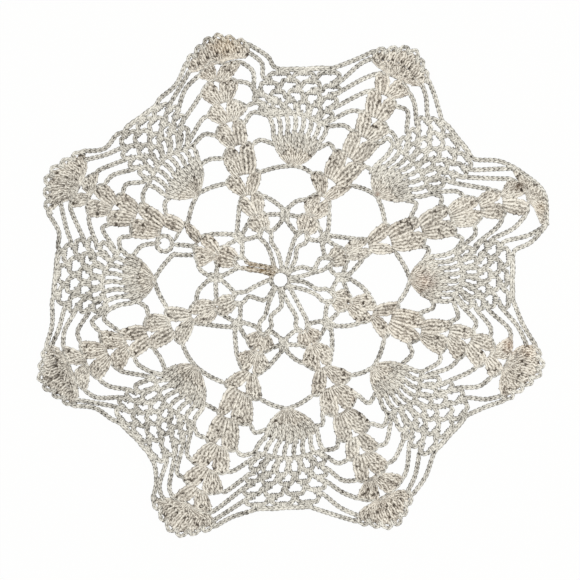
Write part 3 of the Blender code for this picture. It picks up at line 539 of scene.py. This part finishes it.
    def bound(self, line, width, level=LEVEL+0.25):
        """Short stitch bound round a chain: strands side by side that arch over it as a sine."""
        length = run_of(line)[-1]
        t = np.linspace(0, 1, 5)[None]
        strand = np.arange(BOUND_STRANDS)[:, None]
        share = (strand-(BOUND_STRANDS-1)/2)/BOUND_STRANDS
        s = length*(t*1.1-0.05)
        y = share*width*(0.8+0.2*t)+0.12*np.sin(2*np.pi*t+strand)
        z = level-0.55+0.85*np.sin(np.pi*t)**0.7
        self.lay(line, s+0*y, y, z+0*y, THREAD*(0.62+0.38*np.sin(np.pi*t))+0*y)

    def object(self, material):
        """One mesh of all the tubes, closed at the ends, with the thread's run as V of its map.

        To a tube's own random lightness and painted shade comes painted light and shade at each point:
        lighter on top of the thread than below it, less so on the posts, and lighter the higher the
        thread lies.
        """
        corners, quads, uvs, tones_and_shading, warmths = [], [], [], [], []
        upward = np.sin(CORNER_ANGLES)*np.abs(np.sin(CORNER_ANGLES))
        offset = 0
        for path, radius, tone_and_shading, warmth in self.batches:
            count, rings = path.shape[:2]
            corners.append(tubes(path, radius).reshape(-1, 3))
            rise = path[..., 2:3]-LEVEL
            # painted light: tube tops lighter than their undersides, less so on the posts; painted
            # shade: lower thread darker
            lit = 0.46*warmth+(0.76-0.64*warmth)*upward
            tones_and_shading.append((tone_and_shading[..., None]+lit+0.35*rise).ravel())
            run = np.linalg.norm(np.diff(path, axis=1), axis=2).cumsum(axis=1)
            run = np.concatenate([np.zeros((count, 1)), run], 1)
            # walls between the rings, then a lid at each end
            number = np.arange(count*rings*SIDES).reshape(count, rings, SIDES)+offset
            after = np.roll(number, -1, axis=2)
            wall = np.stack([number[:, :-1], after[:, :-1], after[:, 1:], number[:, 1:]], -1)
            quads.append(wall.reshape(-1, 4))
            round_here = np.broadcast_to(np.arange(SIDES)/SIDES, wall.shape[:3])
            near = np.broadcast_to(run[:, :-1, None], wall.shape[:3])
            far = np.broadcast_to(run[:, 1:, None], wall.shape[:3])
            u = np.stack([round_here, round_here+1/SIDES, round_here+1/SIDES, round_here], -1)
            v = np.stack([near, near, far, far], -1)
            uvs.append(np.stack([u, v], -1).reshape(-1, 2))
            for end, order in ((0, -1), (rings-1, 1)):
                for lid in LIDS:
                    quads.append(number[:, end, ::order][:, lid])
                    uvs.append(np.zeros((4*count, 2)))
            warmths.append(np.full(number.size, warmth))
            offset += count*rings*SIDES
        corners, quads = np.concatenate(corners), np.concatenate(quads)
        uvs, tones_and_shading, warmths = np.concatenate(uvs), np.concatenate(tones_and_shading), np.concatenate(warmths)
        corners[:, :2] -= MIDDLE
        corners /= 1000
        mesh = bpy.data.meshes.new(self.name)
        mesh.vertices.add(len(corners))
        mesh.vertices.foreach_set("co", corners.ravel())
        mesh.loops.add(quads.size)
        mesh.loops.foreach_set("vertex_index", quads.ravel().astype(np.int32))
        mesh.polygons.add(len(quads))
        mesh.polygons.foreach_set("loop_start", np.arange(0, quads.size, 4, dtype=np.int32))
        mesh.uv_layers.new(name="thread").data.foreach_set("uv", uvs.ravel())
        mesh.attributes.new("tone_and_shading", "FLOAT", "POINT").data.foreach_set("value", tones_and_shading)
        mesh.attributes.new("warmth", "FLOAT", "POINT").data.foreach_set("value", warmths)
        mesh.update(calc_edges=True)
        mesh.validate()
        mesh.shade_smooth()
        mesh.materials.append(material)
        piece = bpy.data.objects.new(self.name, mesh)
        bpy.context.collection.objects.link(piece)
        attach(piece, "root")
        return piece


def fan(thread, foot, arc, count, spread, lean, plaits=False):
    """Posts that leave one foot, spread mm to each side, and end on an arc.

    The outer posts leave at lean degrees from the fan's axis and end at 0.3 of it, the others
    in proportion to their place. Plaits lays a chain over the outer half of each.
    """
    side = unit(arc[-1]-arc[0])
    ahead = left_of(side)
    ahead *= np.sign(ahead@(arc[len(arc)//2]-foot))
    share = np.linspace(-1, 1, count)[:, None]
    feet, tops = foot+side*share*spread-ahead*0.4, along(arc, np.linspace(0, 1, count))
    lean = np.radians(lean)*share
    leave = START_PULL*(np.sin(lean)*side+np.cos(lean)*ahead)
    arrive = FAN_PULL*(np.sin(lean*0.3)*side+np.cos(lean*0.3)*ahead)
    thread.web(feet, tops, leave, arrive, sunk=0.1*plaits)
    if plaits:
        width = run_of(arc)[-1]/(count-1)
        length = np.linalg.norm(tops-feet, axis=1)[:, None]
        for a, b, c, d in zip(feet, feet+leave*length, tops-arrive*length, tops):
            t = np.linspace(thread.rng.uniform(0.4, 0.62), thread.rng.uniform(0.93, 1.08), 8)[:, None]
            thread.chain(cubic(a, b, c, d, t), width*1.15, 1.9, LEVEL+0.12, 0.25)


def shell(thread, foot, left, right, following, base=2.8, gap=3.2, crown=SHELL_CROWN, hands=(1, -1)):
    """Two groups of posts from one broad foot, with the next foot on the chain between them.

    The groups lie side by side near the foot and part round a small hole below the next one.
    Base is half the foot's width, gap the way from the next foot to each group, and crown the
    swell of a group's top. Hands names the groups that are there: 1 is the left, -1 the right.
    """
    foot, left, right, following = (at(place) for place in (foot, left, right, following))
    axis = unit(following-foot)
    side = left_of(axis)
    for corner, hand in ((left, 1), (right, -1)):
        if hand not in hands:
            continue
        shoulder = following+side*hand*gap-axis*0.3
        edge = bend([corner, (corner+shoulder)/2+axis*crown, shoulder], 0.5)
        count = max(4, int(round(run_of(edge)[-1]/STRAND_PITCH)))
        share = np.linspace(1, 0, count)[:, None]
        lean = np.radians(SHELL_LEAN*share)
        leave = START_PULL*(np.sin(lean)*side*hand+np.cos(lean)*axis)
        lean = np.radians(INNER_ARRIVAL-(INNER_ARRIVAL-OUTER_ARRIVAL)*share)
        arrive = SHELL_PULL*(np.sin(lean)*side*hand+np.cos(lean)*axis)
        feet = foot+side*hand*(0.15+(base-0.15)*share)-axis*(0.8+0.4*share)
        thread.web(feet, along(edge, 1-share[:, 0]), leave, arrive)
        thread.chain(edge, EDGE_WIDTH, level=LEVEL-0.05)
    link = bend([following+side*gap-axis*0.3, following, following-side*gap-axis*0.3], 0.5)
    thread.chain(link, EDGE_WIDTH, level=LEVEL-0.05)


def spokes(thread, pair, inner):
    """Two long stitches and the V of chains that carries the first shell."""
    bearing, radius = inner.foot2
    foot = at(inner.foot2)
    corners = [at((bearing+hand*CORNER_TURN, radius-CORNER_DROP)) for hand in (1, -1)]
    for spoke, corner, hand in zip(pair, corners, (1, -1)):
        start = at((spoke.foot[0], RING_RADIUS-0.2))
        elbow = at((bearing+hand*ELBOW_TURN, (spoke.top[1]+radius)/2))
        end = corner*0.4+foot*0.6
        line = bend([start, at(spoke.foot), at(spoke.bend), at(spoke.top), elbow, end])
        thread.chain(line, level=LEVEL+0.15)
    thread.chain(bend([corners[0], foot, corners[1]]))
    return corners


def knot_arcs(thread, knot, before, after, corner_before, corner_after):
    """Three arcs between neighbouring columns, bound together at the knot."""
    centre = at(knot.place)
    out = unit(centre)
    low, high = centre-out*1.7, centre+out*1.9
    thread.chain(bend([corner_before, (corner_before+low)/2, low, (corner_after+low)/2, corner_after]))
    thread.chain(bend([at(before.right2), centre+out*0.2, at(after.left2)]))
    thread.chain(bowed(at(before.right3), high, knot.bow_before))
    thread.chain(bowed(high, at(after.left3), knot.bow_after))
    tie = bend([low-out*0.8, high+out*0.6])
    for offset in (-1.15, 1.15):
        thread.chain(tie+left_of(out)*offset, 2.5, 1.7, LEVEL+0.2)
    thread.bound(tie, 3.6, LEVEL-0.05)


def tip_rim(thread, inner, rim):
    """Groups of posts with a dark pit between each two, painted as shade at the feet of the posts
    there, under small scallops with a pinhole each.

    Four posts go to a scallop. They end 0.3 mm inside the rim, and the one at its middle ends
    0.9 mm further in, below the pinhole. A scallop's chain rises 1 mm over the rim.
    """
    share = np.linspace(0, SCALLOPS, 4*SCALLOPS+1)
    near = np.abs(share-np.round(share))
    drop = 0.3+0.9*np.maximum(1-np.abs(near-0.5)*5, 0)
    tops, feet = along(rim, share/SCALLOPS), along(inner, share/SCALLOPS)
    tops -= drop[:, None]*units(tops)
    feet -= 0.5*units(feet)
    ahead = 0.3*units(tops-feet)
    # painted shade at the feet of the posts between two scallops
    thread.web(feet, tops, ahead, ahead, pit_shade=0.9*(near < 0.1))
    places = np.array([0.02, 0.16, 0.5, 0.84, 0.98])
    lift = np.array([-1.8, -0.1, 1.0, -0.1, -1.8])[:, None]
    for j in range(SCALLOPS):
        bump = along(rim, (j+places)/SCALLOPS)
        thread.chain(bend(bump+lift*units(bump), 0.5), 2.2, 1.9, LEVEL+0.2)


def panel_fan(thread, panel):
    """Fan of a pineapple, and the fingers of chain from it to an edge.

    The posts run 1.8 to 3 mm past the fan's arc, more at its ends. Returns the arc, the edge
    and the fingers' tops.
    """
    arc = arch(panel.fan_left, panel.fan_top, panel.fan_right)
    edge = arch(panel.finger_left, panel.finger_top, panel.finger_right)
    share = np.linspace(0, 1, len(arc))[:, None]
    heads = arc+units(arc)*(3.0-1.2*np.sin(np.pi*share))
    fan(thread, at(panel.base), heads, FAN_STRANDS, 1.0, FAN_LEAN, plaits=True)
    share = np.linspace(0, 1, FINGERS)
    tops = along(edge, share)
    for a, b in zip(along(heads, share), tops):
        middle = (a+b)/2-left_of(b-a)*0.07
        thread.chain(bend([a-(b-a)*0.4, a, middle, b]), FINGER_WIDTH, FINGER_PITCH, LEVEL+0.15)
    thread.chain(edge, level=LEVEL+0.15)
    return arc, edge, tops


def row_holes(row, count):
    """Middles of a row's holes: even in bearing, with the radius a parabola through three."""
    t = np.linspace(0, 1, count)
    bearing = row.first[0]+(row.last[0]-row.first[0])*t
    rise = row.middle-(row.first[1]+row.last[1])/2
    radius = row.first[1]+(row.last[1]-row.first[1])*t+4*t*(1-t)*rise
    return [at(place) for place in zip(bearing, radius)]


def panel_rows(fans, loops, panel, rows):
    """Fan, fingers and loop rows of a pineapple. Returns where each round's side chains end.

    A row has one loop fewer than the row before it, and stands on short stitches bound round
    the tops of that row's loops. The last row has a chain over its two loops instead.
    """
    arc, edge, tops = panel_fan(fans, panel)
    ends = [(arc[0], arc[-1]), (edge[0], edge[-1])]
    feet = [g+unit(g) for g in (tops[1:]+tops[:-1])/2]
    for g in feet:
        loops.bound(bend([g-unit(g)*1.2, g+unit(g)*0.8]), 3.4)
    for count, row in zip(range(FINGERS-2, 0, -1), rows):
        holes = row_holes(row, count)
        side = (holes[0]-holes[-1])/(count-1)
        wall = side/2-unit(side)*LOOP_OVERLAP
        for a, hole, b in zip(feet[:-1], holes, feet[1:]):
            peak = unit(hole)*(LOOP_PEAK if count > 2 else LAST_PEAK)
            left, right = hole+wall*0.75+peak*0.84, hole-wall*0.75+peak*0.84
            loop = bend([a, hole+wall, left, hole+peak, right, hole-wall, b])
            loops.chain(loop, LOOP_WIDTH, LOOP_PITCH)
        tops = [hole+unit(hole)*LOOP_PEAK for hole in holes]
        if count > 2:
            ends.append((feet[0], feet[-1]))
            for top in tops:
                loops.bound(bend([top-unit(top)*1.0, top+unit(top)*1.6]), 3.2)
        else:
            first, last = (foot+unit(foot)*0.4 for foot in (feet[0], feet[-1]))
            ends.append((first, last))
            brim = [hole+unit(hole)*1.4 for hole in holes]
            loops.chain(bend([first, *brim, last]), LOOP_WIDTH, LOOP_PITCH, LEVEL+0.3)
        feet = [top+unit(top)*1.2 for top in tops]
    return ends


def side_chains(thread, middles, corners, ends, hand):
    """Chains from a column's shells to the panel beside it, one a round.

    From the third round on, a chain bends over just before its end, from the side that hand
    names: 1 is the left one.
    """
    for k, (middle, corner, end) in enumerate(zip(middles, corners, ends)):
        points = [corner, end] if middle is None else [corner, at(middle), end]
        if k > 1:
            out = unit(end)
            points.insert(-1, end+left_of(out)*hand*2.6+out*1.4)
        thread.chain(bend(points))


def lace():
    """All the stitches, as one collector of thread for each piece."""
    names = ("doily_middle", "doily_fans", "doily_loops", "doily_shells", "doily_chains", "doily_tips")
    middle, fans, loops, shells, chains, tips = (
        Thread(name, np.random.default_rng(SEED+k)) for k, name in enumerate(names))
    middle.chain(circle(RING_RADIUS))
    corners = [spokes(middle, pair, inner) for pair, inner in zip(SPOKES, INNER)]
    for k in range(COUNT):
        knot_arcs(middle, KNOTS[k], INNER[k-1], INNER[k], corners[k-1][1], corners[k][0])
    ends = [panel_rows(fans, loops, panel, rows) for panel, rows in zip(PANELS, MESH)]
    for k in range(COUNT):
        inner, rounds, tip = INNER[k], SHELLS[k], TIPS[k]
        after = (k+1) % COUNT
        hands = (-1,) if k == ODD_COLUMN else (1, -1)
        shell(middle, inner.foot2, inner.left2, inner.right2, inner.foot3, 1.6, 1.6)
        shell(middle, inner.foot3, inner.left3, inner.right3, inner.foot4, 1.6, 2.7)
        shell(middle, inner.foot4, inner.left4, inner.right4, rounds[0].foot, 1.8, 4.0, 0.8, hands)
        chains.chain(bowed(at(inner.left4), at(PANELS[k].base), 0.6))
        chains.chain(bowed(at(inner.right4), at(PANELS[after].base), 0.6))
        shell(shells, *rounds[0], rounds[1].foot, 3.3, hands=hands)
        for here, following in zip(rounds[1:-1], rounds[2:]):
            shell(shells, *here, following.foot)
        last = rounds[-1]
        arc = arch(last.left, tip.fan_top, last.right)
        rim = arc
        if tip.top is None:
            fan(tips, at(last.foot), arc, TIP_STRANDS, 3.0, FAN_LEAN)
            tips.chain(arc)
        else:
            fan(tips, at(last.foot), arc, TIP_STRANDS, 3.2, TIP_LEAN)
            rim = bend([at(tip.left), at(tip.top), at(tip.right)], 0.5)
            tip_rim(tips, arc, rim)
        lefts = [at(row.left) for row in rounds]+[rim[0]]
        rights = [at(row.right) for row in rounds]+[rim[-1]]
        side_chains(chains, LINKS[k][0], lefts, [pair[1] for pair in ends[k]], -1)
        side_chains(chains, LINKS[k][1], rights, [pair[0] for pair in ends[after]], 1)
    for mend in (*MENDS, DOUBLING):
        middle.chain(bend([at(mend.top), at(mend.middle), at(mend.foot)]))
    place, radius = MEND_RING
    chains.chain(at(place)+circle(radius))
    return middle, fans, loops, shells, chains, tips


class Graph:
    """Adds nodes to a shader group. A method returns its node's result."""

    def __init__(self, group):
        self.group = group
        self.nodes, self.links = group.nodes, group.links

    def socket(self, name, kind, out=False, value=None):
        """Gives the group an input or an output."""
        side = "OUTPUT" if out else "INPUT"
        made = self.group.interface.new_socket(name=name, in_out=side, socket_type=kind)
        if value is not None:
            made.default_value = value

    def feed(self, slot, value):
        """Gives a node's input a number, a colour or a result."""
        if isinstance(value, (int, float, tuple)):
            slot.default_value = value
        else:
            self.links.new(value, slot)

    def calc(self, operation, a, b=None, clamp=False):
        """A Math node on numbers or results."""
        node = self.nodes.new("ShaderNodeMath")
        node.operation = operation
        node.use_clamp = clamp
        self.feed(node.inputs[0], a)
        if b is not None:
            self.feed(node.inputs[1], b)
        return node.outputs[0]

    def plus(self, a, b, clamp=False):
        return self.calc("ADD", a, b, clamp)

    def minus(self, a, b):
        return self.calc("SUBTRACT", a, b)

    def times(self, a, b, clamp=False):
        return self.calc("MULTIPLY", a, b, clamp)

    def noise(self, place, scale, detail=2.0):
        """Noise from 0 to 1, in cells of about 1/scale metre."""
        node = self.nodes.new("ShaderNodeTexNoise")
        self.feed(node.inputs["Vector"], place)
        self.feed(node.inputs["Scale"], scale)
        self.feed(node.inputs["Detail"], detail)
        return node.outputs["Fac"]

    def mix(self, factor, a, b, mode="MIX"):
        """Colour a turned into b by the factor."""
        node = self.nodes.new("ShaderNodeMix")
        node.data_type = "RGBA"
        node.blend_type = mode
        self.feed(node.inputs["Factor"], factor)
        self.feed(node.inputs["A"], a)
        self.feed(node.inputs["B"], b)
        return node.outputs["Result"]

    def tint(self, factor, colour, by):
        """Colour multiplied by another one, as far as the factor says."""
        return self.mix(factor, colour, self.mix(1.0, colour, by, "MULTIPLY"))

    def split(self, vector):
        """X, Y and Z of a vector."""
        node = self.nodes.new("ShaderNodeSeparateXYZ")
        self.feed(node.inputs[0], vector)
        return node.outputs

    def attribute(self, name):
        """A value that the mesh's points carry."""
        node = self.nodes.new("ShaderNodeAttribute")
        node.attribute_name = name
        return node.outputs["Fac"]

    def distance(self, place, centre):
        """From the place to the centre, in metres."""
        node = self.nodes.new("ShaderNodeVectorMath")
        node.operation = "DISTANCE"
        self.feed(node.inputs[0], place)
        self.feed(node.inputs[1], centre)
        return node.outputs["Value"]


def thread_group():
    """Cotton thread: colour that varies by stitch and place, stains, and the height of its twist.

    Twist: the height is the sine of PLIES turns round plus the run along the thread over
    PLY_PITCH. Fuzz: fine noise on top. The colour goes from Deep to Light by the stitch's own
    lightness with its painted light and shade, the twist's sine as painted shade in its grooves,
    a mottle that is stronger on the posts, a broad noise, and painted light that grows along X.
    In patches it is multiplied by Warm, more so on the posts and where it is dark. A stain
    multiplies it by its tint inside a ragged circle.
    """
    group = bpy.data.node_groups.new("cotton_thread", "ShaderNodeTree")
    graph = Graph(group)
    graph.socket("Light", "NodeSocketColor", value=(0.8, 0.8, 0.8, 1))
    graph.socket("Deep", "NodeSocketColor", value=(0.4, 0.4, 0.4, 1))
    graph.socket("Warm", "NodeSocketColor", value=(0.6, 0.5, 0.4, 1))
    graph.socket("Color", "NodeSocketColor", out=True)
    graph.socket("Roughness", "NodeSocketFloat", out=True)
    graph.socket("Height", "NodeSocketFloat", out=True)
    inlet, outlet = group.nodes.new("NodeGroupInput"), group.nodes.new("NodeGroupOutput")
    place = group.nodes.new("ShaderNodeTexCoord").outputs["Object"]
    uv = group.nodes.new("ShaderNodeUVMap")
    uv.uv_map = "thread"
    # per-point random tone with painted light and shade, carried by the mesh
    tone_and_shading, warmth = graph.attribute("tone_and_shading"), graph.attribute("warmth")

    way = graph.split(uv.outputs["UV"])
    turns = graph.plus(graph.times(way["X"], PLIES), graph.times(way["Y"], 1.0/PLY_PITCH))
    ply = graph.calc("SINE", graph.times(turns, 2*math.pi))
    fuzz = graph.noise(place, FUZZ_SCALE, 3.0)

    strength = graph.plus(graph.times(warmth, POST_MOTTLE), CHAIN_MOTTLE)
    mottle = graph.times(graph.minus(graph.noise(place, MOTTLE_SCALE, 3.0), 0.5), strength)
    broad = graph.times(graph.minus(graph.noise(place, BROAD_SCALE), 0.5), 0.6)
    # painted light: the lace lighter towards +X, as if lit more from that side
    light_drift = graph.times(graph.split(place)["X"], PAINTED_LIGHT_DRIFT)
    # painted shade in the grooves of the twist: the ply's sine also darkens the colour a little
    shade = graph.plus(graph.times(ply, 0.05), BASE_TONE)
    shade = graph.plus(graph.plus(shade, tone_and_shading), mottle)
    shade = graph.plus(graph.plus(shade, broad), light_drift, clamp=True)
    colour = graph.mix(shade, inlet.outputs["Deep"], inlet.outputs["Light"])

    depth = graph.minus(1.7, graph.times(shade, 1.2))
    patch = graph.times(graph.noise(place, PATCH_SCALE), 1.6)
    warm = graph.times(graph.times(patch, warmth), depth, clamp=True)
    colour = graph.tint(warm, colour, inlet.outputs["Warm"])

    ragged = graph.times(graph.minus(graph.noise(place, RAGGED_SCALE), 0.5), 0.8)
    for stain in STAINS:
        centre = (*((at(stain.place)-MIDDLE)/1000), LEVEL/1000)
        fade = graph.minus(1.0, graph.times(graph.distance(place, centre), 1000/stain.size))
        mask = graph.times(graph.plus(fade, ragged), depth, clamp=True)
        mask = graph.times(mask, graph.calc("GREATER_THAN", fade, -0.3))
        colour = graph.tint(mask, colour, stain.tint)

    graph.feed(outlet.inputs["Color"], colour)
    graph.feed(outlet.inputs["Roughness"], graph.plus(graph.times(fuzz, 0.2), 0.72))
    graph.feed(outlet.inputs["Height"], graph.plus(graph.times(ply, 0.5), fuzz))
    return group


def cotton(group):
    """Cotton in the group's colours, with its twist as bump."""
    material = bpy.data.materials.new("ecru_cotton")
    material.use_nodes = True
    nodes, links = material.node_tree.nodes, material.node_tree.links
    shader = nodes["Principled BSDF"]
    yarn = nodes.new("ShaderNodeGroup")
    yarn.node_tree = group
    yarn.inputs["Light"].default_value = (0.60, 0.58, 0.517, 1)
    yarn.inputs["Deep"].default_value = (0.05, 0.042, 0.032, 1)
    yarn.inputs["Warm"].default_value = (1.0, 0.90, 0.82, 1)
    bump = nodes.new("ShaderNodeBump")
    bump.inputs["Strength"].default_value = 0.5
    bump.inputs["Distance"].default_value = 0.00012
    links.new(yarn.outputs["Color"], shader.inputs["Base Color"])
    links.new(yarn.outputs["Roughness"], shader.inputs["Roughness"])
    links.new(yarn.outputs["Height"], bump.inputs["Height"])
    links.new(bump.outputs["Normal"], shader.inputs["Normal"])
    shader.inputs["Specular IOR Level"].default_value = 0.25
    shader.inputs["Sheen Weight"].default_value = 0.15
    return material


def white_table():
    """Matt white that the camera sees as an even glow, nearly without shadows."""
    white = bpy.data.materials.new("white_table")
    white.use_nodes = True
    nodes, links = white.node_tree.nodes, white.node_tree.links
    shader = nodes["Principled BSDF"]
    shader.inputs["Base Color"].default_value = (0.4, 0.4, 0.395, 1)
    shader.inputs["Roughness"].default_value = 0.8
    glow = nodes.new("ShaderNodeEmission")
    glow.inputs["Color"].default_value = (1, 1, 0.995, 1)
    glow.inputs["Strength"].default_value = 1.0
    seen = nodes.new("ShaderNodeLightPath")
    share = nodes.new("ShaderNodeMath")
    share.operation = "MULTIPLY"
    share.inputs[1].default_value = 0.98
    blend = nodes.new("ShaderNodeMixShader")
    links.new(seen.outputs["Is Camera Ray"], share.inputs[0])
    links.new(share.outputs[0], blend.inputs["Fac"])
    links.new(shader.outputs["BSDF"], blend.inputs[1])
    links.new(glow.outputs["Emission"], blend.inputs[2])
    links.new(blend.outputs["Shader"], nodes["Material Output"].inputs["Surface"])
    return white


def floor():
    """The table, far larger than the lace."""
    half = 1.5
    corners = [(-half, -half, 0), (half, -half, 0), (half, half, 0), (-half, half, 0)]
    mesh = bpy.data.meshes.new("table")
    mesh.from_pydata(corners, [], [(0, 1, 2, 3)])
    mesh.materials.append(white_table())
    table = bpy.data.objects.new("table", mesh)
    bpy.context.collection.objects.link(table)


def lights():
    """Wide soft light from above, a little stronger from the upper right, and a white room.

    A lamp is its name, place, size and power, and points at the middle of the lace.
    """
    lamps = (("key", (0.5, 0.4, 1.1), 0.9, 14), ("fill", (-0.5, -0.4, 1.2), 1.2, 7))
    for name, place, size, power in lamps:
        light = bpy.data.lights.new(name, "AREA")
        light.size = size
        light.energy = power
        lamp = bpy.data.objects.new(name, light)
        lamp.location = place
        x, y, z = place
        lamp.rotation_euler = (math.atan2(math.hypot(x, y), z), 0, math.atan2(x, -y))
        bpy.context.collection.objects.link(lamp)
    world = bpy.data.worlds.new("room")
    world.use_nodes = True
    background = world.node_tree.nodes["Background"]
    background.inputs["Color"].default_value = (1, 1, 1, 1)
    background.inputs["Strength"].default_value = 0.7
    bpy.context.scene.world = world
    bpy.context.scene.view_settings.view_transform = "Standard"


def camera():
    """Looks straight down from afar with a long lens, the frame's middle below the ring."""
    data = bpy.data.cameras.new("camera")
    data.sensor_width = 36
    data.lens = data.sensor_width*CAMERA_HEIGHT/FRAME_WIDTH
    data.clip_end = 10
    lens = bpy.data.objects.new("camera", data)
    x, y = (np.array(FRAME_MIDDLE)-MIDDLE)/1000
    lens.location = (x, y, CAMERA_HEIGHT)
    bpy.context.collection.objects.link(lens)
    bpy.context.scene.camera = lens


def main():
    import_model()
    camera()
    floor()
    lights()
    material = cotton(thread_group())
    pieces = [thread.object(material) for thread in lace()]
    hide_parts("doily")


main()
